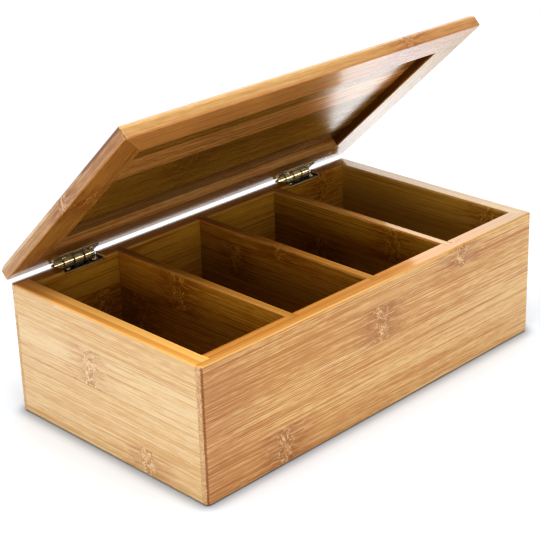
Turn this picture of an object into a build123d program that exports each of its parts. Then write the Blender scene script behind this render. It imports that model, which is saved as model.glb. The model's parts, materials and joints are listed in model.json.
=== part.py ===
from build123d import *
import os
from math import sqrt

# Bamboo tea bag organizer box: four compartments in one row under a hinged frame-and-panel lid.
#
# X runs along the row of compartments, the front is at -Y, the hinges are at the back (+Y) and Z is up.
# The origin is the centre of the underside. All sizes are in millimetres.
# The lid is modelled shut and then turned about its hinge pins to LID_OPEN, its pose in the photograph.

# ---------------------------------------------------------------- driving dimensions

# Box
BOX_LENGTH = 330.0
BOX_DEPTH = 187.5
BOX_HEIGHT = 96.5
WALL = 12.0
CORNER_TONGUE = 4.6  # thickness that a long wall keeps over the end of an end wall
COMPARTMENTS = 4
DIVIDER_THICKNESS = 6.0
DADO_DEPTH = 5.0  # how far a divider is let into the front and back walls
BASE_THICKNESS = 6.0
BASE_LEDGE = 6.0  # how far the base panel reaches under each wall
GLUE_GAP = 0.1  # glue line at each let-in edge
CORNER_ROUND = 2.5
RIM_ROUND = 1.5
FOOT_ROUND = 2.0
INNER_ROUND = 0.5

# Lid
LID_END_OVERHANG = 2.5
LID_FRONT_OVERHANG = 1.5
LID_BACK_SETBACK = 0.8
LID_THICKNESS = 11.0
RAIL_WIDTH = 27.5
PANEL_THICKNESS = 5.0
PANEL_LEDGE = 6.0  # how far the panel reaches over each rail
LID_TOP_ROUND = 6.5
LID_CORNER_ROUND = 2.5
LID_LOWER_ROUND = 1.0
LID_GAP = 0.2  # between the shut lid and the rim
LID_OPEN = 43.4  # degrees from shut in the photograph

# Hinges
HINGE_FROM_END = 55.0  # from the end of the box to the middle of a hinge
HINGE_LENGTH = 36.0
KNUCKLES = 4  # from the left: box, lid, box, lid
KNUCKLE_GAP = 0.2
PIN_RADIUS = 0.8
PIN_CLEARANCE = 0.05
LEAF_THICKNESS = 0.8
LEAF_CORNER = 1.6
LEAF_SETBACK = 2.4  # from the inner face of the back wall to the free edge of a leaf
BARREL_STANDOFF = 0.25  # between the barrel and the back wall
MORTISE_CLEARANCE = 0.3
PIN_END = 0.4  # length of each bevelled pin end outside the barrel

# Hinge screws
SCREW_SPACING = 23.5
SCREW_RADIUS = 1.0
SCREW_LENGTH = 8.0
SCREW_CLEARANCE = 0.1
HEAD_RADIUS = 2.0
HEAD_HEIGHT = 0.65
HEAD_TAPER = 0.35  # how much smaller in radius the flat crown of a screw head is than its rim

# ---------------------------------------------------------------- sizes that follow

HALF_LENGTH = BOX_LENGTH / 2
HALF_DEPTH = BOX_DEPTH / 2
INNER_X = HALF_LENGTH - WALL
INNER_Y = HALF_DEPTH - WALL
TONGUE_Y = HALF_DEPTH - CORNER_TONGUE
BASE_X = INNER_X + BASE_LEDGE
BASE_Y = INNER_Y + BASE_LEDGE
COMPARTMENT = (2 * INNER_X - (COMPARTMENTS - 1) * DIVIDER_THICKNESS) / COMPARTMENTS
DIVIDER_PITCH = COMPARTMENT + DIVIDER_THICKNESS
DIVIDER_PLACES = [DIVIDER_PITCH * (n - COMPARTMENTS / 2) for n in range(1, COMPARTMENTS)]

BARREL_RADIUS = PIN_RADIUS + PIN_CLEARANCE + LEAF_THICKNESS
MORTISE_FLOOR = BOX_HEIGHT + LID_GAP - 2 * BARREL_RADIUS
PIN_Y = HALF_DEPTH + BARREL_STANDOFF + BARREL_RADIUS
PIN_Z = MORTISE_FLOOR + BARREL_RADIUS
LEAF_REACH = PIN_Y - INNER_Y - LEAF_SETBACK  # from the pin to the free edge of a leaf
KNUCKLE = (HINGE_LENGTH - (KNUCKLES - 1) * KNUCKLE_GAP) / KNUCKLES
HINGE_PLACES = {"left": HINGE_FROM_END - HALF_LENGTH, "right": HALF_LENGTH - HINGE_FROM_END}
SCREW_Y = HALF_DEPTH - WALL / 2
HOLE_RADIUS = SCREW_RADIUS + SCREW_CLEARANCE

LID_BOTTOM = BOX_HEIGHT + LID_GAP
LID_TOP = LID_BOTTOM + LID_THICKNESS
PANEL_BOTTOM = LID_TOP - PANEL_THICKNESS
LID_X = HALF_LENGTH + LID_END_OVERHANG
LID_FRONT = -HALF_DEPTH - LID_FRONT_OVERHANG
LID_BACK = HALF_DEPTH - LID_BACK_SETBACK
LID_MIDDLE = (LID_FRONT + LID_BACK) / 2
HALF_LID = (LID_BACK - LID_FRONT) / 2

PAST = 1.0  # how far a cutter runs past the face that it cuts


# ---------------------------------------------------------------- helpers


def block(x0, x1, y0, y1, z0, z1):
    """A box between two corners."""
    return Pos((x0 + x1) / 2, (y0 + y1) / 2, (z0 + z1) / 2) * Box(x1 - x0, y1 - y0, z1 - z0)


def upright(x, y, z0, z1, radius):
    """A vertical cylinder from z0 up to z1."""
    return Pos(x, y, (z0 + z1) / 2) * Cylinder(radius, z1 - z0)


def along_x(x0, x1, y, z, radius):
    """A cylinder parallel to the hinge pins."""
    return Pos((x0 + x1) / 2, y, z) * Rot(0, 90, 0) * Cylinder(radius, x1 - x0)


def opened(shape):
    """Turn a piece of the shut lid about the hinge pins to the open pose."""
    return shape.rotate(Axis((0, PIN_Y, PIN_Z), (-1, 0, 0)), LID_OPEN)


def screw_places(hinge_x):
    return [(hinge_x - SCREW_SPACING / 2, SCREW_Y), (hinge_x + SCREW_SPACING / 2, SCREW_Y)]


# ---------------------------------------------------------------- box carcass


def wall_ring():
    """All four walls as one ring, with every edge eased and every seat for another piece cut."""
    ring = block(-HALF_LENGTH, HALF_LENGTH, -HALF_DEPTH, HALF_DEPTH, 0, BOX_HEIGHT)
    ring = fillet(ring.edges().filter_by(Axis.Z), CORNER_ROUND)
    ring = fillet(ring.faces().sort_by(Axis.Z)[-1].edges(), RIM_ROUND)
    ring = fillet(ring.faces().sort_by(Axis.Z)[0].edges(), FOOT_ROUND)
    ring -= block(-INNER_X, INNER_X, -INNER_Y, INNER_Y, -PAST, BOX_HEIGHT + PAST)
    inner_rim = ring.faces().sort_by(Axis.Z)[-1].inner_wires()[0]
    ring = fillet(inner_rim.edges(), INNER_ROUND)
    seat_x = BASE_X + GLUE_GAP
    seat_y = BASE_Y + GLUE_GAP
    ring -= block(-seat_x, seat_x, -seat_y, seat_y, -PAST, BASE_THICKNESS)
    for x in DIVIDER_PLACES:
        ring -= dado(x)
    for x in HINGE_PLACES.values():
        ring -= hinge_mortise(x)
        for hole_x, hole_y in screw_places(x):
            hole_end = MORTISE_FLOOR + LEAF_THICKNESS - SCREW_LENGTH - SCREW_CLEARANCE
            ring -= upright(hole_x, hole_y, hole_end, MORTISE_FLOOR + PAST, HOLE_RADIUS)
    return ring


def dado(x):
    """The pair of slots that hold the two ends of a divider, cut as one."""
    half = DIVIDER_THICKNESS / 2 + GLUE_GAP
    reach = INNER_Y + DADO_DEPTH
    return block(x - half, x + half, -reach, reach, BASE_THICKNESS, BOX_HEIGHT + PAST)


def hinge_mortise(x):
    """The recess in the rim of the back wall, open to both faces, that takes a folded hinge."""
    half = HINGE_LENGTH / 2 + MORTISE_CLEARANCE
    return block(x - half, x + half, INNER_Y - PAST, HALF_DEPTH + PAST, MORTISE_FLOOR, BOX_HEIGHT + PAST)


def end_wall_space(side, gap):
    """The space of an end wall at one end of the ring, which reaches into the corner rabbets."""
    inner = side * INNER_X
    outer = side * (HALF_LENGTH + PAST)
    reach = TONGUE_Y + gap
    return block(min(inner, outer), max(inner, outer), -reach, reach, -PAST, BOX_HEIGHT + PAST)


def walls():
    ring = wall_ring()
    long_walls = ring - end_wall_space(-1, 0) - end_wall_space(1, 0)
    front, back = long_walls.solids().sort_by(Axis.Y)
    return {
        "front_wall": front,
        "back_wall": back,
        "left_end_wall": ring & end_wall_space(-1, -GLUE_GAP),
        "right_end_wall": ring & end_wall_space(1, -GLUE_GAP),
    }


def base_panel():
    return block(-BASE_X, BASE_X, -BASE_Y, BASE_Y, 0, BASE_THICKNESS)


def divider(x):
    """A board that stands on the base with its ends in the dadoes and its top flush with the rim."""
    half = DIVIDER_THICKNESS / 2
    reach = INNER_Y + DADO_DEPTH - GLUE_GAP
    board = block(x - half, x + half, -reach, reach, BASE_THICKNESS, BOX_HEIGHT)
    top = board.faces().sort_by(Axis.Z)[-1]
    return fillet(top.edges().filter_by(Axis.Y), INNER_ROUND)


# ---------------------------------------------------------------- lid


def lid_ring():
    """The four lid rails as one frame, with the rabbet for the panel and the screw holes cut."""
    frame = block(-LID_X, LID_X, LID_FRONT, LID_BACK, LID_BOTTOM, LID_TOP)
    frame = fillet(frame.faces().sort_by(Axis.Z)[-1].edges(), LID_TOP_ROUND)
    outline = RectangleRounded(2 * LID_X, 2 * HALF_LID, LID_CORNER_ROUND)
    frame &= Pos(0, LID_MIDDLE, LID_BOTTOM) * extrude(outline, LID_THICKNESS)
    frame = fillet(frame.faces().sort_by(Axis.Z)[0].edges(), LID_LOWER_ROUND)
    opening_x = LID_X - RAIL_WIDTH
    opening_y = HALF_LID - RAIL_WIDTH
    hole = block(-opening_x, opening_x, -opening_y, opening_y, LID_BOTTOM - PAST, LID_TOP + PAST)
    frame -= Pos(0, LID_MIDDLE, 0) * hole
    lower_rim = frame.faces().sort_by(Axis.Z)[0].inner_wires()[0]
    frame = fillet(lower_rim.edges(), INNER_ROUND)
    frame -= panel_space(GLUE_GAP, PAST)
    for x in HINGE_PLACES.values():
        for hole_x, hole_y in screw_places(x):
            hole_end = LID_BOTTOM - LEAF_THICKNESS + SCREW_LENGTH + SCREW_CLEARANCE
            frame -= upright(hole_x, hole_y, LID_BOTTOM - PAST, hole_end, HOLE_RADIUS)
    return frame


def panel_space(gap, above):
    """The space of the lid panel, a gap larger all round and so much higher."""
    x = LID_X - RAIL_WIDTH + PANEL_LEDGE + gap
    y = HALF_LID - RAIL_WIDTH + PANEL_LEDGE + gap
    return Pos(0, LID_MIDDLE, 0) * block(-x, x, -y, y, PANEL_BOTTOM, LID_TOP + above)


def rail_space(turn):
    """The mitred space of one rail: turn 0 is the front rail, 90 the right, 180 the back, 270 the left."""
    across = turn % 180 != 0
    half = HALF_LID if across else LID_X  # from the middle of the rail to its mitred tips
    depth = LID_X if across else HALF_LID  # from the middle of the lid to the rail's outer face
    run = RAIL_WIDTH + PAST
    shift = GLUE_GAP / sqrt(2)  # half of the glue line at each 45 degree mitre, measured along the rail
    wedge = Polygon(
        (-half - PAST + shift, -depth - PAST),
        (half + PAST - shift, -depth - PAST),
        (half - run - shift, -depth + run),
        (-half + run + shift, -depth + run),
        align=None,
    )
    prism = extrude(wedge, LID_THICKNESS + 2 * PAST)
    return Pos(0, LID_MIDDLE, LID_BOTTOM - PAST) * Rot(0, 0, turn) * prism


def lid_rails():
    frame = lid_ring()
    names = ["lid_front_rail", "lid_right_rail", "lid_back_rail", "lid_left_rail"]
    return {name: frame & rail_space(90 * n) for n, name in enumerate(names)}


# ---------------------------------------------------------------- hinges


def hinge_leaf(hinge_x, side):
    """A leaf with its rolled knuckles. Side is -1 for the leaf in the box and 1 for the leaf on the lid."""
    outer = PIN_Z + side * BARREL_RADIUS
    inner = outer - side * LEAF_THICKNESS
    low, high = min(outer, inner), max(outer, inner)
    left = hinge_x - HINGE_LENGTH / 2
    free_edge = PIN_Y - LEAF_REACH
    root = PIN_Y - BARREL_RADIUS - PIN_CLEARANCE
    plate = block(left, left + HINGE_LENGTH, free_edge, root, low, high)
    corners = plate.edges().filter_by(Axis.Z).group_by(Axis.Y)[0]
    leaf = fillet(corners, LEAF_CORNER)
    first = 0 if side < 0 else 1
    for n in range(first, KNUCKLES, 2):
        x0 = left + n * (KNUCKLE + KNUCKLE_GAP)
        leaf += block(x0, x0 + KNUCKLE, root - PAST, PIN_Y, low, high)
        leaf += along_x(x0, x0 + KNUCKLE, PIN_Y, PIN_Z, BARREL_RADIUS)
    for n in range(KNUCKLES):
        x0 = left + n * (KNUCKLE + KNUCKLE_GAP)
        if n % 2 != first:
            notch = BARREL_RADIUS + KNUCKLE_GAP
            x1 = x0 + KNUCKLE + KNUCKLE_GAP
            leaf -= block(x0 - KNUCKLE_GAP, x1, PIN_Y - notch, PIN_Y + notch, PIN_Z - notch, PIN_Z + notch)
    leaf -= along_x(left - PAST, left + HINGE_LENGTH + PAST, PIN_Y, PIN_Z, PIN_RADIUS + PIN_CLEARANCE)
    for hole_x, hole_y in screw_places(hinge_x):
        leaf -= upright(hole_x, hole_y, low - PAST, high + PAST, HOLE_RADIUS)
    return leaf


def hinge_pin(hinge_x):
    half = HINGE_LENGTH / 2 + PIN_END
    pin = along_x(hinge_x - half, hinge_x + half, PIN_Y, PIN_Z, PIN_RADIUS)
    return chamfer(pin.edges().filter_by(GeomType.CIRCLE), PIN_END / 2)


def wood_screw():
    """A pan-head screw that points down, with the underside of its head at z = 0."""
    head = Pos(0, 0, HEAD_HEIGHT / 2) * Cone(HEAD_RADIUS, HEAD_RADIUS - HEAD_TAPER, HEAD_HEIGHT)
    shank = Pos(0, 0, -SCREW_LENGTH / 2) * Cylinder(SCREW_RADIUS, SCREW_LENGTH)
    return head + shank


def leaf_screws(hinge_x, side):
    """The two screws of one leaf. Side is -1 for the box and 1 for the lid, where they point up."""
    seat = PIN_Z + side * (BARREL_RADIUS - LEAF_THICKNESS)
    flip = Rot(0, 0, 0) if side < 0 else Rot(180, 0, 0)
    return Compound([Pos(x, y, seat) * flip * wood_screw() for x, y in screw_places(hinge_x)])


# ---------------------------------------------------------------- assembly


def all_pieces():
    pieces = walls()
    pieces["base_panel"] = base_panel()
    names = ["left_divider", "middle_divider", "right_divider"]
    for name, x in zip(names, DIVIDER_PLACES):
        pieces[name] = divider(x)
    pieces["lid_panel"] = opened(panel_space(0, 0))
    for name, rail in lid_rails().items():
        pieces[name] = opened(rail)
    for side, x in HINGE_PLACES.items():
        pieces[side + "_hinge_box_leaf"] = hinge_leaf(x, -1)
        pieces[side + "_hinge_lid_leaf"] = opened(hinge_leaf(x, 1))
        pieces[side + "_hinge_pin"] = hinge_pin(x)
        pieces[side + "_box_leaf_screws"] = leaf_screws(x, -1)
        pieces[side + "_lid_leaf_screws"] = opened(leaf_screws(x, 1))
    return pieces


os.makedirs("parts", exist_ok=True)
for node, shape in all_pieces().items():
    export_step(shape, "parts/" + node + ".step")
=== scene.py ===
import json
import math

import bmesh
import bpy
from mathutils import Matrix, Vector

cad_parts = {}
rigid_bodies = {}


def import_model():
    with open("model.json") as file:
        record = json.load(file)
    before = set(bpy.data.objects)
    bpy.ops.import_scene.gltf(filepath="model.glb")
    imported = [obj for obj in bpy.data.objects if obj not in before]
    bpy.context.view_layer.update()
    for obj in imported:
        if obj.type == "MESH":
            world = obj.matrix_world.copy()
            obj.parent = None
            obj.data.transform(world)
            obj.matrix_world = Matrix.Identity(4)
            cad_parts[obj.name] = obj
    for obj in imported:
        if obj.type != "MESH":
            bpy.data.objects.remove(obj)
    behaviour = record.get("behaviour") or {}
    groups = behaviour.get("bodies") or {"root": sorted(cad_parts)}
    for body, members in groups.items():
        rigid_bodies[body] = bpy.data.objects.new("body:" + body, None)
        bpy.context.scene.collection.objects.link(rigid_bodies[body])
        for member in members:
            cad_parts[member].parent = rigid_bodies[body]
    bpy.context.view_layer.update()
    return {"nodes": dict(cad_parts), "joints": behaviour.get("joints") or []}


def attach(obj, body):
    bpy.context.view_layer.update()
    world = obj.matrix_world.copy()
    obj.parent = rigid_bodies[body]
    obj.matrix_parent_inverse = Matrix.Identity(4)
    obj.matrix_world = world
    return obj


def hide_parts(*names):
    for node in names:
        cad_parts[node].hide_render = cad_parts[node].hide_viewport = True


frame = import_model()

camera_place = Vector((-0.6875, -0.6852, 0.5012))
camera_azimuth = math.radians(-44.715)
camera_elevation = math.radians(23.073)
camera_roll = math.radians(-1.798)
away = Vector((math.sin(camera_azimuth) * math.cos(camera_elevation),
               -math.cos(camera_azimuth) * math.cos(camera_elevation),
               math.sin(camera_elevation)))
level = Vector((math.cos(camera_azimuth), math.sin(camera_azimuth), 0))
upward = away.cross(level)
camera_x = level * math.cos(camera_roll) + upward * math.sin(camera_roll)
camera_y = upward * math.cos(camera_roll) - level * math.sin(camera_roll)
camera_turn = Matrix((camera_x, camera_y, away)).transposed().to_4x4()
camera = bpy.data.objects.new("camera", bpy.data.cameras.new("camera"))
camera.data.sensor_width = 36
camera.data.lens = 100.1
camera.data.shift_x = -0.0060
camera.data.shift_y = -0.0232
camera.matrix_world = Matrix.Translation(camera_place) @ camera_turn
bpy.context.scene.collection.objects.link(camera)
bpy.context.scene.camera = camera

# ---------------------------------------------------------------- floor and studio light
# A seamless white sweep under broad soft light, bright enough to wash out to white except in the
# contact shadow, which is also painted grey into the sheet round the box. A large overhead box
# lights the rims, and two low ones the near sides.
mm = 0.001


class Finish:
    """Builds a material node by node. Values may be plain numbers or the sockets of other nodes."""

    def __init__(self, name):
        self.material = bpy.data.materials.new(name)
        self.material.use_nodes = True
        self.tree = self.material.node_tree
        self.shader = self.tree.nodes["Principled BSDF"]

    def node(self, kind, **settings):
        made = self.tree.nodes.new("ShaderNode" + kind)
        for key, value in settings.items():
            setattr(made, key, value)
        return made

    def feed(self, socket, value):
        if isinstance(value, bpy.types.NodeSocket):
            self.tree.links.new(value, socket)
        else:
            socket.default_value = value

    def math(self, operation, a, b=0.0, clamp=False):
        made = self.node("Math", operation=operation, use_clamp=clamp)
        self.feed(made.inputs[0], a)
        self.feed(made.inputs[1], b)
        return made.outputs[0]

    def both(self, *masks):
        """The mask where all of these masks hold."""
        joined = masks[0]
        for mask in masks[1:]:
            joined = self.math("MULTIPLY", joined, mask)
        return joined

    def vector(self, operation, a, b=(0, 0, 0)):
        made = self.node("VectorMath", operation=operation)
        self.feed(made.inputs[0], a)
        self.feed(made.inputs[1], b)
        return made.outputs["Value" if operation in ("LENGTH", "DOT_PRODUCT") else "Vector"]

    def scaled(self, vector, factor):
        made = self.node("VectorMath", operation="SCALE")
        self.feed(made.inputs[0], vector)
        self.feed(made.inputs["Scale"], factor)
        return made.outputs[0]

    def noise(self, place, stretch, detail=2.0, rough=0.5, output="Fac"):
        """Smooth noise with so many waves to the metre along each axis."""
        made = self.node("TexNoise")
        self.feed(made.inputs["Vector"], self.vector("MULTIPLY", place, stretch))
        made.inputs["Scale"].default_value = 1.0
        made.inputs["Detail"].default_value = detail
        made.inputs["Roughness"].default_value = rough
        return made.outputs[output]

    def drift(self, place, stretch, detail=2.0):
        """A smooth random vector about nought."""
        colours = self.noise(place, stretch, detail, output="Color")
        return self.vector("SUBTRACT", colours, (0.5, 0.5, 0.5))

    def ramp(self, value, low, high, to_low=0.0, to_high=1.0, smooth=True):
        made = self.node("MapRange", interpolation_type="SMOOTHSTEP" if smooth else "LINEAR")
        self.feed(made.inputs["Value"], value)
        made.inputs["From Min"].default_value = low
        made.inputs["From Max"].default_value = high
        made.inputs["To Min"].default_value = to_low
        made.inputs["To Max"].default_value = to_high
        return made.outputs["Result"]

    def line(self, value, level, width, strength):
        """A thin line where value passes level."""
        apart = self.math("ABSOLUTE", self.math("SUBTRACT", value, level))
        return self.ramp(apart, 0.0, width, strength, 0.0)

    def mix(self, factor, a, b, blend="MIX"):
        made = self.node("Mix", data_type="RGBA", blend_type=blend)
        self.feed(made.inputs["Factor"], factor)
        self.feed(made.inputs[6], a if isinstance(a, bpy.types.NodeSocket) else (*a, 1))
        self.feed(made.inputs[7], b if isinstance(b, bpy.types.NodeSocket) else (*b, 1))
        return made.outputs[2]

    def bump(self, height, strength, distance):
        made = self.node("Bump")
        made.inputs["Strength"].default_value = strength
        made.inputs["Distance"].default_value = distance
        self.feed(made.inputs["Height"], height)
        self.feed(self.shader.inputs["Normal"], made.outputs["Normal"])

    def set(self, **constants):
        """Sets the shader's plain numbers, with low lines for the spaces in their names."""
        for name, value in constants.items():
            self.shader.inputs[name.replace("_", " ")].default_value = value


bpy.context.scene.view_settings.view_transform = "Standard"
bpy.context.scene.view_settings.look = "High Contrast"

bm = bmesh.new()
bmesh.ops.create_grid(bm, x_segments=1, y_segments=1, size=6.0)
sweep = bpy.data.objects.new("sweep", bpy.data.meshes.new("sweep"))
bm.to_mesh(sweep.data)
bm.free()
bpy.context.scene.collection.objects.link(sweep)

# painted shadow: the sheet is painted grey softly where the box stands on it, as a contact shadow
sheet_white = (0.80, 0.83, 0.865, 1)
painted_shadow_grey = (0.44, 0.46, 0.485, 1)
under_the_box = (160 * mm, 88.5 * mm, 0)
paper = Finish("white_paper")
paper.set(Roughness=1.0, Specular_IOR_Level=0.0)
aside = paper.vector("ABSOLUTE", paper.node("TexCoord").outputs["Object"])
clear = paper.vector("MAXIMUM", paper.vector("SUBTRACT", aside, under_the_box), (0, 0, 0))
tone = paper.node("ValToRGB")
tone.color_ramp.interpolation = "EASE"
tone.color_ramp.elements[0].position = 3 * mm
tone.color_ramp.elements[0].color = painted_shadow_grey
tone.color_ramp.elements[1].position = 15 * mm
tone.color_ramp.elements[1].color = sheet_white
paper.feed(tone.inputs[0], paper.vector("LENGTH", clear))
paper.feed(paper.shader.inputs["Base Color"], tone.outputs["Color"])
sweep.data.materials.append(paper.material)

studio = bpy.data.worlds.new("studio")
studio.use_nodes = True
studio.node_tree.nodes["Background"].inputs["Color"].default_value = (1.0, 1.0, 1.0, 1)
studio.node_tree.nodes["Background"].inputs["Strength"].default_value = 0.40
bpy.context.scene.world = studio


def softbox(name, place, target, width, height, watts):
    light = bpy.data.objects.new(name, bpy.data.lights.new(name, "AREA"))
    light.data.shape = "RECTANGLE"
    light.data.size = width
    light.data.size_y = height
    light.data.energy = watts
    light.location = place
    light.rotation_mode = "QUATERNION"
    light.rotation_quaternion = (Vector(target) - Vector(place)).to_track_quat("-Z", "Y")
    bpy.context.scene.collection.objects.link(light)
    return light


softbox("overhead", (-0.2, -0.3, 2.4), (0, 0, 0), 2.6, 2.6, 40)
softbox("left_low", (-2.4, -0.3, 0.55), (0, 0, 0.08), 1.6, 0.9, 15)
softbox("front_low", (-0.6, -2.4, 0.55), (0, 0, 0.08), 1.6, 0.9, 9.5)
softbox("back_right", (1.8, 1.8, 1.0), (0, 0, 0.1), 2.2, 1.4, 8.5)
# a lamp over the sheet to the right, which is what the lid's underside mirrors
wash = softbox("right_wash", (0.318, 0.125, 0.21), (0.318, 0.125, 0), 0.16, 0.16, 0.060)
wash.data.spread = math.radians(62)

# ---------------------------------------------------------------- front wall
# A board of edge-glued bamboo strips, planed, sanded and sprayed with clear gloss lacquer. It runs
# the full length of the box, rabbeted over both end walls and slotted for the dividers.
lid_joint = frame["joints"][0]
pin_place = Vector(lid_joint["pos_m"])
lid_open = math.radians(-lid_joint["range_deg"][0])
rim_height = 96.5
outer_face = 93.75
panel_core = 105


def times(colour, factors):
    return tuple(c * k for c, k in zip(colour, factors))


class Bamboo(Finish):
    """A laminated bamboo board, finished step by step from the fibres to the lacquer. u runs along
    the grain, v across the strips and w through the board, or along y in the base. Places are given
    in mm. The lid's boards are laid out as they lie when it is shut."""

    def __init__(self, name, grain, first_joint, light, dark, strip=26.6, knuckles=(), on_lid=False,
                 seed=0.0, contrast=1.0, flecks=0.32, tones=None, tints=(),
                 haze_tone=(0.72, 0.59, 0.53)):
        """grain is the axis along the fibres, first_joint the place of one glue joint across the
        strips, and knuckles the places (u, v) of the stem's joints. tones darken the strips one by one,
        and tints colour them, each with one tint for the underside and one for the top; the underside's
        are mostly the darker ones, partly the strip's own tone and partly painted shade."""
        super().__init__(name)
        self.lay_out(grain, on_lid)
        self.grain = grain
        from_joint = self.math("SUBTRACT", self.v, first_joint * mm)
        self.strips = self.math("MULTIPLY", from_joint, 1 / (strip * mm))
        self.find_knuckles([(u, math.floor((v - first_joint) / strip)) for u, v in knuckles])
        self.cream = times(light, (1.16, 1.24, 1.45))
        self.umber = times(dark, (0.62, 0.48, 0.36))
        self.fibres(light, dark, seed, contrast, flecks, tones)
        for number, (under, over) in enumerate(tints):
            on_top = self.between(self.w, panel_core - 1, panel_core + 1)
            self.tint(self.on_strip(number), self.mix(on_top, under, over))
        self.figure_knuckles(haze_tone)
        self.glue_joints(strip)

    def lay_out(self, grain, on_lid):
        place = self.node("TexCoord").outputs["Object"]
        order = {"X": (0, 2, 1), "Y": (1, 2, 0)}[grain]
        if on_lid:
            order = {"X": (0, 1, 2), "Y": (1, 0, 2)}[grain]
            shut = Matrix.Rotation(lid_open, 3, "X")
            closed = self.node("Mapping")
            self.feed(closed.inputs["Vector"], place)
            closed.inputs["Rotation"].default_value = (lid_open, 0, 0)
            closed.inputs["Location"].default_value = pin_place - shut @ pin_place
            place = closed.outputs["Vector"]
        parts = self.node("SeparateXYZ")
        self.feed(parts.inputs[0], place)
        self.u, self.v, self.w = (parts.outputs[axis] for axis in order)
        board = self.node("CombineXYZ")
        for socket, along in zip(board.inputs, (self.u, self.v, self.w)):
            self.feed(socket, along)
        self.uvw = board.outputs[0]

    def between(self, along, low, high, *to):
        """A smooth step along one way of the board, from 0 at low to 1 at high unless told."""
        return self.ramp(along, low * mm, high * mm, *to)

    def on_strip(self, number):
        """The mask of one strip, counted from the first joint."""
        same = self.math("COMPARE", self.math("FLOOR", self.strips), float(number))
        same.node.inputs[2].default_value = 0.5
        return same

    def tint(self, where, tone):
        self.colour = self.mix(where, self.colour, tone, blend="MULTIPLY")

    def cover(self, where, tone):
        self.colour = self.mix(where, self.colour, tone)

    def find_knuckles(self, knuckles):
        """The stem's joints: a narrow ragged column across the strip, with a halo to both sides.
        Each is given by its place along the grain and the number of its strip."""
        ragged = self.math("SUBTRACT", self.noise(self.uvw, (90, 160, 160)), 0.5)
        ragged = self.math("MULTIPLY", ragged, 16 * mm)
        self.knuckle = 0.0
        self.halo = 0.0
        for at_u, number in knuckles:
            aside = self.math("ADD", self.math("SUBTRACT", self.u, at_u * mm), ragged)
            aside = self.math("ABSOLUTE", aside)
            column = self.both(self.on_strip(number), self.between(aside, 8.0, 4.5))
            self.knuckle = self.math("MAXIMUM", self.knuckle, column)
            around = self.both(self.on_strip(number), self.between(aside, 34, 6))
            self.halo = self.math("MAXIMUM", self.halo, around)

    def fibres(self, light, dark, seed, contrast, flecks, tones):
        """Long straight fibres: broad bands, streaks, fine lines, hairs and short flecks, with thin
        dark and light veins and one tone for each strip. The fibres swirl at a knuckle."""
        shifted = self.vector("ADD", self.uvw, (seed, seed * 0.7, seed * 1.3))
        wander = self.vector("MULTIPLY", self.drift(shifted, (6, 14, 14)), (0, 1.8 * mm, 0))
        self.shifted = self.vector("ADD", shifted, wander)
        swirl = self.drift(self.shifted, (130, 170, 170), detail=1.5)
        reach = self.math("ADD", self.math("MULTIPLY", self.halo, 0.35), self.knuckle)
        reach = self.math("MULTIPLY", reach, 5 * mm)
        self.bent = self.vector("ADD", self.shifted, self.scaled(swirl, reach))
        bands = self.noise(self.shifted, (1.5, 26, 26), detail=1.0)
        streaks = self.noise(self.bent, (3.5, 170, 170), detail=1.0)
        self.fine = self.noise(self.bent, (6, 860, 860), detail=0.0)
        hair = self.noise(self.bent, (9, 1700, 1700))
        fleck = self.noise(self.bent, (95, 900, 900), detail=1.5)

        each = self.node("TexWhiteNoise", noise_dimensions="1D")
        self.feed(each.inputs["W"], self.math("ADD", self.math("FLOOR", self.strips), seed * 100 + 0.37))
        strip_tone = self.ramp(each.outputs["Value"], 0.0, 1.0, -0.08, 0.08, smooth=False)
        if tones:
            strip_tone = 0.0
            for number, amount in enumerate(tones):
                own = self.math("MULTIPLY", self.on_strip(number), amount)
                strip_tone = self.math("ADD", strip_tone, own)

        shade = 0.42
        for pattern, low, high, swing in ((bands, 0.30, 0.70, 0.40 * contrast),
                                          (streaks, 0.28, 0.72, 0.04 * contrast),
                                          (self.fine, 0.32, 0.68, 0.15 * contrast),
                                          (hair, 0.33, 0.67, 0.58 * contrast),
                                          (fleck, 0.34, 0.66, flecks)):
            shade = self.math("ADD", shade, self.ramp(pattern, low, high, -swing, swing))
        shade = self.math("ADD", shade, strip_tone, clamp=True)
        self.colour = self.mix(shade, light, dark)

        dark_vein = self.noise(self.bent, (4, 1450, 1450), detail=0.0)
        elsewhere = self.vector("ADD", self.bent, (0.3, 0.7, 0.9))
        light_vein = self.noise(elsewhere, (5, 950, 950), detail=0.0)
        gaps = self.ramp(self.noise(self.bent, (14, 300, 300), detail=1.0), 0.40, 0.55)
        dark_vein = self.ramp(dark_vein, 0.57, 0.62, 0.0, 0.85 * contrast)
        self.cover(self.both(dark_vein, gaps), times(dark, (0.84, 0.66, 0.46)))
        light_vein = self.ramp(light_vein, 0.60, 0.66, 0.0, 0.36 * contrast)
        self.cover(self.both(light_vein, gaps), self.cream)

    def figure_knuckles(self, haze_tone):
        """A haze of short brown flames about the column, and zigzags of cream and brown in it."""
        flames = self.noise(self.bent, (80, 620, 620), detail=1.0)
        self.tint(self.both(self.halo, self.ramp(flames, 0.38, 0.58, 0.25, 1.0)), haze_tone)
        zigzag = self.drift(self.shifted, (160, 520, 520), detail=1.0)
        zigzag = self.vector("MULTIPLY", zigzag, (7 * mm, 1.5 * mm, 0))
        zigzag = self.vector("ADD", self.shifted, zigzag)
        self.squiggle = self.noise(zigzag, (480, 170, 170), detail=1.5)
        self.cover(self.both(self.knuckle, self.line(self.squiggle, 0.57, 0.06, 0.80)), self.cream)
        self.cover(self.both(self.knuckle, self.line(self.squiggle, 0.43, 0.06, 0.85)), self.umber)

    def glue_joints(self, strip):
        apart = self.math("FRACT", self.math("ADD", self.strips, 0.5))
        apart = self.math("ABSOLUTE", self.math("SUBTRACT", apart, 0.5))
        self.cover(self.ramp(apart, 0.2 / strip, 0.6 / strip, 0.30, 0.0), self.umber)

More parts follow.
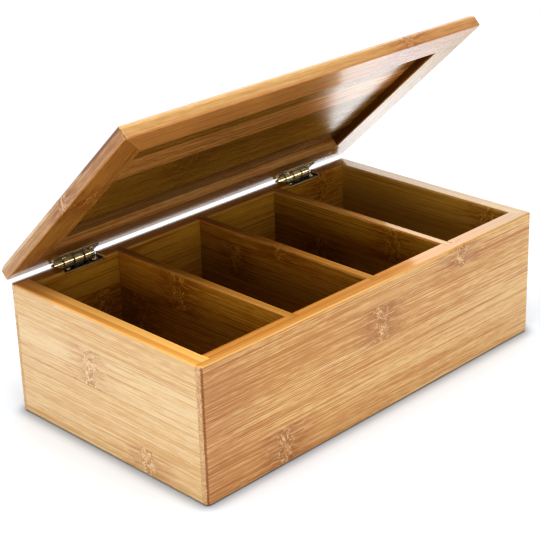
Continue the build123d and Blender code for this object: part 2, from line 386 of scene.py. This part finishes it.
    def cut_ends(self, tone=(0.66, 0.50, 0.40), arris=0.8):
        """The cut ends of the fibres, and the soiled line where a long wall's meet its faces. The
        ends of the lid's boards are soiled all over."""
        facing = self.node("SeparateXYZ")
        self.feed(facing.inputs[0], self.node("TexCoord").outputs["Normal"])
        cut_end = self.math("ABSOLUTE", facing.outputs["XYZ".index(self.grain)])
        self.tint(self.ramp(cut_end, 0.60, 0.95), tone)
        near_face = self.between(self.math("ABSOLUTE", self.w), outer_face - 1.45, outer_face - 0.65,
                                 0.0, arris)
        self.tint(self.both(near_face, self.ramp(cut_end, 0.15, 0.5)), (0.42, 0.26, 0.20))

    def shade_inside(self, start=None, end=None, tone=(0.60, 0.48, 0.16), below_rim=True):
        """Painted shade on the inner side, between the depths where it starts and is full, or else all of
        it.
        """
        painted_shade = 1.0
        if start is not None:
            painted_shade = self.between(self.w, start, end)
        if below_rim:
            painted_shade = self.both(painted_shade, self.between(self.v, rim_height - 1.0, rim_height - 2.2))
        self.tint(painted_shade, tone)

    def fade(self, start, end, tone):
        """A slow change of tone along the grain."""
        self.tint(self.between(self.u, start, end), tone)

    def rim(self, tone, inner=None, lines=0.7, fade=None):
        """The top edge, with thin lines where the strips are cut. inner is the depth past which it
        has another tone, and that tone."""
        thin = self.noise(self.bent, (4, 200, 820), detail=3.0, rough=0.6)
        colour = tone
        if inner:
            split, inner_tone = inner
            colour = self.mix(self.between(self.w, split - 1, split + 1), tone, inner_tone)
        colour = self.mix(self.ramp(thin, 0.44, 0.62, 0.0, lines), colour, (0.68, 0.50, 0.30),
                          blend="MULTIPLY")
        if fade:
            start, end, faded = fade
            colour = self.mix(self.between(self.u, start, end), colour, faded, blend="MULTIPLY")
        on_rim = self.between(self.v, rim_height - 1.5, rim_height - 0.5)
        self.cover(self.math("MULTIPLY", on_rim, 0.9), colour)

    def lacquer(self, rough=0.26, coat_rough=0.10, coat_ior=1.55, relief=0.14, gloss_below=None):
        """Clear gloss over the colour, rubbed thin above gloss_below on a board of the lid."""
        self.feed(self.shader.inputs["Base Color"], self.colour)
        self.feed(self.shader.inputs["Roughness"], self.ramp(self.fine, 0.3, 0.7, rough, rough + 0.10))
        self.set(IOR=1.5, Specular_IOR_Level=0.15, Coat_Weight=1.0, Coat_Roughness=coat_rough,
                 Coat_IOR=coat_ior)
        if gloss_below:
            rubbed = self.between(self.w, gloss_below, gloss_below + 1, 1.0, 0.25)
            self.feed(self.shader.inputs["Coat Weight"], rubbed)
        height = self.math("ADD", self.fine, self.math("MULTIPLY", self.knuckle, self.squiggle))
        self.bump(height, relief, 0.05 * mm)
        return self.material


def placed(name, bm, smooth_below, material, body, slot, *nodes):
    """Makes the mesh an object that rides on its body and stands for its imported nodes. Faces that
    meet at less than smooth_below degrees are shaded as one."""
    for face in bm.faces:
        face.smooth = True
    for edge in bm.edges:
        edge.smooth = edge.calc_face_angle(0) < math.radians(smooth_below)
    piece = bpy.data.objects.new(name, bpy.data.meshes.new(name))
    bm.to_mesh(piece.data)
    bm.free()
    piece.data.materials.append(material)
    bpy.context.scene.collection.objects.link(piece)
    weighted = piece.modifiers.new("flat_faces", "WEIGHTED_NORMAL")
    weighted.keep_sharp = True
    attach(piece, body)
    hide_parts(*nodes)


def sanded(node, body, slot, material):
    """A board as it leaves the sander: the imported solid, with its triangles joined."""
    bm = bmesh.new()
    bm.from_mesh(frame["nodes"][node].data)
    bmesh.ops.remove_doubles(bm, verts=bm.verts, dist=1e-6)
    placed(node + "_board", bm, 32, material, body, slot, node)


honey = (0.685, 0.450, 0.194)
brown = (0.488, 0.230, 0.053)
board = Bamboo("bamboo_front", "X", 0.0, honey, brown, seed=1.0, tones=(0.0, -0.04, 0.03, 0.12),
               knuckles=((-96, 13), (-2, 66.5), (83.3, 88)))
board.cut_ends((1.10, 1.42, 2.15))
# the inner face is painted darker, as painted shade inside the box
board.shade_inside(-84, -82.5)
board.fade(-95, -165, (0.86, 0.77, 0.74))
board.rim((0.74, 0.445, 0.156), inner=(-91.2, (0.66, 0.335, 0.095)),
          fade=(60, 150, (0.72, 0.79, 0.92)))
sanded("front_wall", "box", "bamboo", board.lacquer())

# ---------------------------------------------------------------- back wall
# The same board again, lacquered alike, with two mortises cut through its rim for the hinges. It is
# rabbeted and slotted as the front one is.
board = Bamboo("bamboo_back", "X", 18.8, honey, brown, seed=2.0,
               knuckles=((-97, 60), (64, 36), (128, 84)))
board.cut_ends((0.95, 1.05, 1.35), arris=0.0)
# the inner face is painted darker, as painted shade inside the box
board.shade_inside(84, 82.5, (0.69, 0.61, 0.22))
# its rim is painted dark, as painted shade under the open lid
board.rim((0.34, 0.165, 0.022))
sanded("back_wall", "box", "bamboo", board.lacquer())

# ---------------------------------------------------------------- end walls
# Shorter boards of paler bamboo, lacquered alike and glued into the rabbets of the long walls with
# their ends covered.
pale = (0.675, 0.495, 0.282)
tan = (0.570, 0.358, 0.147)
board = Bamboo("bamboo_left_end", "Y", 19.5, pale, tan, seed=3.0, contrast=0.85, flecks=0.36,
               haze_tone=(0.84, 0.73, 0.64), knuckles=((14.6, 59.4), (-39, 8)))
# the inner face is painted darker, as painted shade inside the box
board.shade_inside(-155.5, -153.5)
# the rim is painted darker towards the back corner, as painted shadow of the lid
board.rim((0.84, 0.45, 0.13), inner=(-159.5, (1.0, 0.62, 0.21)), lines=0.3,
          fade=(35, 75, (0.60, 0.58, 0.56)))
sanded("left_end_wall", "box", "bamboo", board.lacquer())

board = Bamboo("bamboo_right_end", "Y", 23.0, pale, tan, seed=4.0, knuckles=((-62, 88), (40, 30)))
# the inner face is painted darker, as painted shade inside the box
board.shade_inside(155.5, 153.5, (0.72, 0.64, 0.25))
board.rim((0.51, 0.335, 0.115))
sanded("right_end_wall", "box", "bamboo", board.lacquer())

# ---------------------------------------------------------------- dividers
# Thin boards of the same lacquered bamboo, let into slots in the long walls and standing on the
# base. They are painted darker all over, as painted shade between the walls, and their rims are
# painted darker towards the back, as painted shade under the lid.
for name, first_joint, seed, knuckles, inside_shade, rim_tone, rim_shade in (
        ("left_divider", 15.3, 5.0, ((20, 82), (62, 56)), (0.72, 0.66, 0.26),
         (0.57, 0.31, 0.08), (-35, 45, (0.44, 0.40, 0.30))),
        ("middle_divider", 6.8, 6.0, ((0, 90), (44.5, 72)), (0.54, 0.46, 0.165),
         (0.57, 0.31, 0.08), (-35, 45, (0.44, 0.40, 0.30))),
        ("right_divider", 16.4, 7.0, ((-38, 82), (33, 50)), (0.51, 0.445, 0.13),
         (0.64, 0.38, 0.115), (-10, 75, (0.60, 0.58, 0.52)))):
    board = Bamboo("bamboo_" + name, "Y", first_joint, honey, brown, seed=seed, knuckles=knuckles)
    board.shade_inside(tone=inside_shade)
    board.rim(rim_tone, fade=rim_shade)
    sanded(name, "box", "bamboo_panel", board.lacquer())

# ---------------------------------------------------------------- base
# One thin bamboo board, lacquered and glued into a rabbet round the lower edges of the walls. Its
# back half is painted darker, as painted shade.
board = Bamboo("bamboo_base", "X", 5, honey, brown, strip=30, seed=8.0)
board.cut_ends()
board.shade_inside(3, 5, below_rim=False)
sanded("base_panel", "box", "bamboo_panel", board.lacquer())

# ---------------------------------------------------------------- lid frame
# Four mitred bamboo rails, glued at the corners, rounded over along their top edges and lacquered.
# Depths in them are heights over the floor with the lid shut.
rail_width = 27.5
gloss_line = 97.6


def rail(side, grain, first_joint, light, dark, underside_shade, **figure):
    made = Bamboo("bamboo_lid_" + side, grain, first_joint, light, dark, strip=rail_width,
                  on_lid=True, **figure)
    if grain == "X":
        made.cut_ends()
    # the underside is painted darker, as painted shade under the open lid
    made.shade_inside(98.2, 97.2, underside_shade, below_rim=False)
    return made


board = rail("front", "X", -95.25, (0.67, 0.46, 0.222), (0.50, 0.28, 0.102), (1.02, 0.80, 0.59),
             seed=9.0, contrast=0.45, flecks=0.22, knuckles=((89, -80),))
board.fade(-20, 140, (0.86, 0.76, 0.72))
sanded("lid_front_rail", "lid", "bamboo",
       board.lacquer(coat_rough=0.12, coat_ior=1.6, relief=0.03, gloss_below=gloss_line))

board = rail("back", "X", 65.5, honey, brown, (0.80, 0.70, 0.46), seed=10.0, knuckles=((51, 70),))
sanded("lid_back_rail", "lid", "bamboo",
       board.lacquer(coat_rough=0.16, relief=0.08, gloss_below=gloss_line))

# the left rail is stained along its outer edge, from the front to past the middle
board = rail("left", "Y", -167.5, (0.63, 0.44, 0.268), (0.44, 0.26, 0.132), (1.0, 0.79, 0.38),
             seed=11.0, contrast=0.7, knuckles=((-10, -160),))
stain = board.both(board.between(board.w, 103.2, 104.0), board.between(board.w, 106.8, 106.0),
                   board.between(board.u, -36, -44))
board.tint(stain, (0.50, 0.42, 0.38))
board.fade(0, -80, (0.86, 0.78, 0.75))
sanded("lid_left_rail", "lid", "bamboo", board.lacquer(relief=0.10, gloss_below=gloss_line))

# the right rail's rabbet beside the panel is painted dark, as painted shade
board = rail("right", "Y", 140, honey, brown, (0.85, 0.80, 0.60), seed=12.0)
rabbet_shade = board.both(board.between(board.v, 140.9, 140.3), board.between(board.w, 97.4, 98.0))
board.tint(rabbet_shade, (0.26, 0.18, 0.08))
sanded("lid_right_rail", "lid", "bamboo",
       board.lacquer(coat_rough=0.12, coat_ior=1.38, relief=0.06, gloss_below=gloss_line))

# ---------------------------------------------------------------- lid panel
# Thin bamboo strips of differing tone, glued edge to edge, lacquered, and set into the frame flush
# with its top. The underside is painted the darker face, partly its own tone and partly painted
# shade.
board = Bamboo("bamboo_lid_panel", "X", -67.9, (0.42, 0.25, 0.060), (0.22, 0.12, 0.024), strip=27.9,
               on_lid=True, seed=13.0, contrast=0.8, flecks=0.3, tones=(0, 0, 0, 0, 0),
               knuckles=((-52, 2), (98, 50)),
               tints=(((1.05, 0.94, 0.80), (1.55, 1.50, 2.2)), ((1.95, 1.74, 2.55), (1.90, 1.86, 2.9)),
                      ((1.02, 0.94, 0.62), (1.65, 1.58, 2.3)), ((1.03, 1.02, 0.68), (1.82, 1.76, 2.7)),
                      ((0.5, 0.42, 0.15), (1.60, 1.54, 2.3))))
board.cut_ends()
# the panel is painted lighter towards the right, as painted reflection of the bright sheet
board.fade(-10, 90, (1.30, 1.25, 1.30))
sanded("lid_panel", "lid", "bamboo_panel",
       board.lacquer(rough=0.24, coat_rough=0.20, coat_ior=1.8, relief=0.05, gloss_below=103.4))

# ---------------------------------------------------------------- hinge leaves
# Two small butt hinges stamped from brass plate. Each leaf is blanked with rounded corners, and its
# tongues are rolled round the pin into knuckles, box, lid, box, lid. Antique finish, dark with a
# golden gleam where it has been rubbed; along the leaves' edges that gleam is partly a painted
# highlight, and the knuckles are painted dark next to the gaps between them, as painted shade.
hinge_places = {"left": -110 * mm, "right": 110 * mm}
hinge_length = 36 * mm
plate = 0.8 * mm
barrel_radius = 1.65 * mm
knuckle_count = 4
knuckle_gap = 0.2 * mm
knuckle_length = (hinge_length - (knuckle_count - 1) * knuckle_gap) / knuckle_count
rolled_through = math.radians(305)
free_edge = 84.15 * mm
corner_radius = 1.6 * mm
plate_easing = 0.14 * mm
knuckle_easing = 0.12 * mm
leaf_setback = 0.05 * mm
tongue_reach = 0.3 * mm
same_place = 1e-7


def fresh(name, bm, material, body, slot, *nodes):
    """Places a mesh made here, turned with the lid from the shut place if it rides on it."""
    bmesh.ops.recalc_face_normals(bm, faces=bm.faces)
    if body == "lid":
        turn = Matrix.Rotation(-lid_open, 3, "X")
        bmesh.ops.rotate(bm, verts=bm.verts, cent=pin_place, matrix=turn)
    placed(name, bm, 35, material, body, slot, *nodes)


def ease_edges(bm, edges, size):
    sharp = [e for e in edges if e.is_valid and len(e.link_faces) == 2
             and e.calc_face_angle(0) > math.radians(50)]
    bmesh.ops.bevel(bm, geom=sharp, offset=size, segments=2, profile=0.5, affect="EDGES",
                    material=-1, clamp_overlap=True)


def rolled_knuckle(bm, x, side):
    """A tongue of the plate rolled round the pin, with the open seam of the roll towards the leaf."""
    inner = bm.verts.new((x, pin_place.y, pin_place.z + side * (barrel_radius - plate)))
    outer = bm.verts.new((x, pin_place.y, pin_place.z + side * barrel_radius))
    start = bm.edges.new((inner, outer))
    bmesh.ops.spin(bm, geom=[inner, outer, start], cent=pin_place, axis=(1, 0, 0),
                   angle=-side * rolled_through, steps=24)
    tongue = bmesh.ops.extrude_edge_only(bm, edges=[start])["geom"]
    ends = [g for g in tongue if isinstance(g, bmesh.types.BMVert)]
    bmesh.ops.translate(bm, verts=ends, vec=(0, -barrel_radius - tongue_reach, 0))
    section = [f for f in bm.faces if abs(f.calc_center_median().x - x) < same_place
               and all(abs(v.co.x - x) < same_place for v in f.verts)]
    pulled = bmesh.ops.extrude_face_region(bm, geom=section)["geom"]
    far = [g for g in pulled if isinstance(g, bmesh.types.BMVert)]
    bmesh.ops.translate(bm, verts=far, vec=(knuckle_length, 0, 0))


def stamped_leaf(name, hinge_x, side, material, body, node):
    """Side is -1 for the leaf let into the rim and 1 for the leaf on the lid."""
    left = hinge_x - hinge_length / 2
    root = pin_place.y - barrel_radius - leaf_setback
    bm = bmesh.new()
    bmesh.ops.create_cube(bm, size=1.0)
    bmesh.ops.scale(bm, verts=bm.verts, vec=(hinge_length, root - free_edge, plate))
    middle = (hinge_x, (root + free_edge) / 2, pin_place.z + side * (barrel_radius - plate / 2))
    bmesh.ops.translate(bm, verts=bm.verts, vec=middle)
    corners = [e for e in bm.edges if all(abs(v.co.y - free_edge) < same_place for v in e.verts)
               and abs(e.verts[0].co.x - e.verts[1].co.x) < same_place]
    bmesh.ops.bevel(bm, geom=corners, offset=corner_radius, segments=6, profile=0.5,
                    affect="EDGES", material=-1)
    rims = [e for e in bm.edges if abs(e.verts[0].co.z - e.verts[1].co.z) < same_place]
    ease_edges(bm, rims, plate_easing)
    first = 0 if side < 0 else 1
    for n in range(first, knuckle_count, 2):
        roll = bmesh.new()
        rolled_knuckle(roll, left + n * (knuckle_length + knuckle_gap), side)
        ease_edges(roll, list(roll.edges), knuckle_easing)
        rolled = bpy.data.meshes.new("roll")
        roll.to_mesh(rolled)
        roll.free()
        bm.from_mesh(rolled)
        bpy.data.meshes.remove(rolled)
    fresh(name, bm, material, body, "antique_brass", node)


def patina(name, dark, bright, worn_from=0.62, worn_share=0.5, gold=None, tilt=0.0, rough=(0.34, 0.26)):
    """Plated metal gone dark, with small bright specks where it is rubbed. gold is the tone of the
    knuckles, which are rubbed all over but painted dark next to the gaps between them as painted
    shade, and of the edges of a leaf that is tilted by tilt, rubbed there and partly a painted
    highlight."""
    look = Finish(name)
    place = look.node("TexCoord").outputs["Object"]
    cloud = look.noise(place, (900, 900, 900))
    drawn = look.noise(place, (240, 2600, 2600), detail=1.0)
    colour = dark
    if gold:
        across = look.vector("MULTIPLY", look.vector("SUBTRACT", place, tuple(pin_place)), (0, 1, 1))
        from_pin = look.vector("LENGTH", across)
        near_pin = look.ramp(from_pin, barrel_radius + 0.5 * mm, barrel_radius + 0.1 * mm)
        along = look.node("SeparateXYZ")
        look.feed(along.inputs[0], place)
        from_middle = look.math("SUBTRACT", look.math("ABSOLUTE", along.outputs[0]), hinge_places["right"])
        from_middle = look.math("ABSOLUTE", from_middle)
        pitch = knuckle_length + knuckle_gap
        turn = look.math("FRACT", look.math("ADD", look.math("MULTIPLY", from_middle, 1 / pitch), 0.5))
        from_gap = look.math("ABSOLUTE", look.math("SUBTRACT", turn, 0.5))
        # the knuckles are gold, kept dark next to the gaps between them as painted shade
        colour = look.mix(look.both(near_pin, look.ramp(from_gap, 0.035, 0.11)), dark, gold)
        normal = look.node("TexCoord").outputs["Normal"]
        flat = look.vector("DOT_PRODUCT", normal, (0, -math.sin(tilt), math.cos(tilt)))
        # the tilted leaf's edges are rubbed gold, partly wear and partly a painted highlight
        edge_wear_and_highlight = look.ramp(look.math("ABSOLUTE", flat), 0.85, 0.35, 0.0, 0.24)
        beyond = look.ramp(from_pin, barrel_radius + 0.4 * mm, barrel_radius + 0.8 * mm)
        colour = look.mix(look.both(edge_wear_and_highlight, beyond), colour, gold)
    colour = look.mix(look.ramp(cloud, worn_from, worn_from + 0.08, 0.0, worn_share), colour, bright)
    colour = look.mix(look.ramp(drawn, 0.35, 0.65, 0.0, 0.35), colour, times(dark, (0.7, 0.7, 0.7)))
    look.feed(look.shader.inputs["Base Color"], colour)
    look.feed(look.shader.inputs["Roughness"], look.ramp(cloud, 0.35, 0.65, rough[0], rough[1]))
    look.set(Metallic=1.0)
    look.bump(cloud, 0.10, 0.03 * mm)
    return look.material


antique = (0.058, 0.042, 0.022)
rubbed = (0.70, 0.56, 0.32)
gold = (0.80, 0.66, 0.40)
rim_brass = patina("antique_brass", antique, rubbed, worn_share=0.12, gold=gold)
lid_brass = patina("antique_brass_lid", antique, rubbed, worn_share=0.12, gold=gold, tilt=-lid_open)
for side, x in hinge_places.items():
    stamped_leaf(side + "_rim_leaf", x, -1, rim_brass, "box", side + "_hinge_box_leaf")
    stamped_leaf(side + "_lid_leaf", x, 1, lid_brass, "lid", side + "_hinge_lid_leaf")

# ---------------------------------------------------------------- hinge pins
# A plated steel wire through the four knuckles of each hinge. Its ends are peened to low domes, so
# that it stays in.
pin_radius = 0.8 * mm
pin_length = 36.8 * mm
pin_dome = 0.38 * mm
wire = patina("pin_steel", (0.34, 0.28, 0.18), (0.72, 0.64, 0.50))
for side, x in hinge_places.items():
    bm = bmesh.new()
    bmesh.ops.create_cone(bm, cap_ends=True, segments=32, radius1=pin_radius, radius2=pin_radius,
                          depth=pin_length)
    rims = [e for e in bm.edges if abs(e.verts[0].co.z - e.verts[1].co.z) < same_place]
    bmesh.ops.bevel(bm, geom=rims, offset=pin_dome, segments=4, profile=0.5, affect="EDGES",
                    material=-1)
    bmesh.ops.rotate(bm, verts=bm.verts, matrix=Matrix.Rotation(math.radians(90), 3, "Y"))
    bmesh.ops.translate(bm, verts=bm.verts, vec=(x, pin_place.y, pin_place.z))
    fresh(side + "_wire_pin", bm, wire, "box", "pin_steel", side + "_hinge_pin")

# ---------------------------------------------------------------- hinge screws
# Small pan-head wood screws in bright brass plate, with cross recesses. Two hold each leaf, down
# into the rim of the back wall or up into the lid's back rail.
screw_line = 87.75 * mm
screw_apart = 23.5 * mm
head_radius = 2 * mm
head_height = 0.65 * mm
head_rounding = 0.45 * mm
recess_half_width = 0.22 * mm
recess_arm = 1.05 * mm
recess_depth = 0.38 * mm
shank_radius = 1 * mm
shank_tip_radius = 0.3 * mm
shank_length = 8 * mm
bright_brass = patina("screw_brass", (0.62, 0.50, 0.28), (0.92, 0.80, 0.55), worn_from=0.50,
                      rough=(0.30, 0.22))


def in_recess(face):
    x, y, z = face.calc_center_median()
    near, far = sorted((abs(x), abs(y)))
    return z > head_height * 0.98 and near < recess_half_width and far < recess_arm


def pan_head_screw(bm, x, side, turned):
    """A screw seated on the plate. Side is -1 for the rim, where it points down, and 1 for the lid."""
    screw = bmesh.new()
    bmesh.ops.create_cone(screw, cap_ends=True, segments=32, radius1=head_radius,
                          radius2=head_radius, depth=head_height)
    bmesh.ops.translate(screw, verts=screw.verts, vec=(0, 0, head_height / 2))
    crown = [e for e in screw.edges if all(v.co.z > head_height * 0.99 for v in e.verts)]
    bmesh.ops.bevel(screw, geom=crown, offset=head_rounding, segments=5, profile=0.5,
                    affect="EDGES", material=-1)
    for normal in (Vector((1, 0, 0)), Vector((0, 1, 0))):
        for level in (-recess_arm, -recess_half_width, recess_half_width, recess_arm):
            everything = list(screw.verts) + list(screw.edges) + list(screw.faces)
            bmesh.ops.bisect_plane(screw, geom=everything, plane_co=normal * level, plane_no=normal)
    recess = [f for f in screw.faces if in_recess(f)]
    sunk = bmesh.ops.extrude_face_region(screw, geom=recess)["geom"]
    bmesh.ops.delete(screw, geom=[f for f in recess if f.is_valid], context="FACES_ONLY")
    floor = [g for g in sunk if isinstance(g, bmesh.types.BMVert)]
    bmesh.ops.translate(screw, verts=floor, vec=(0, 0, -recess_depth))
    bmesh.ops.create_cone(screw, cap_ends=True, segments=20, radius1=shank_tip_radius,
                          radius2=shank_radius, depth=shank_length,
                          matrix=Matrix.Translation((0, 0, -shank_length / 2)))
    turn = Matrix.Rotation(math.radians(turned), 3, "Z")
    bmesh.ops.rotate(screw, verts=screw.verts, matrix=turn)
    if side > 0:
        upside_down = Matrix.Rotation(math.radians(180), 3, "X")
        bmesh.ops.rotate(screw, verts=screw.verts, matrix=upside_down)
    seat = pin_place.z + side * (barrel_radius - plate)
    bmesh.ops.translate(screw, verts=screw.verts, vec=(x, screw_line, seat))
    finished = bpy.data.meshes.new("screw")
    screw.to_mesh(finished)
    screw.free()
    bm.from_mesh(finished)
    bpy.data.meshes.remove(finished)


for side, x in hinge_places.items():
    for leaf, body, turns in ((-1, "box", (12, 55)), (1, "lid", (33, 80))):
        bm = bmesh.new()
        pan_head_screw(bm, x - screw_apart / 2, leaf, turns[0])
        pan_head_screw(bm, x + screw_apart / 2, leaf, turns[1])
        fresh(side + "_" + body + "_screws", bm, bright_brass, body, "screw_brass",
              side + "_" + body + "_leaf_screws")

# ---------------------------------------------------------------- glint on the hinges
# A lamp from the front right that lights only the leaves, pins and screws, for the gleam along the
# knuckles. It adds nothing to the bamboo or the sheet.
metal = bpy.data.collections.new("metal")
bpy.context.scene.collection.children.link(metal)
for piece in bpy.data.objects:
    if piece.active_material in (rim_brass, lid_brass, wire, bright_brass):
        metal.objects.link(piece)
glint = softbox("glint", (1.6, -1.6, 0.95), (0, 0.09, 0.1), 1.2, 0.8, 14)
glint.visible_diffuse = False
glint.light_linking.receiver_collection = metal
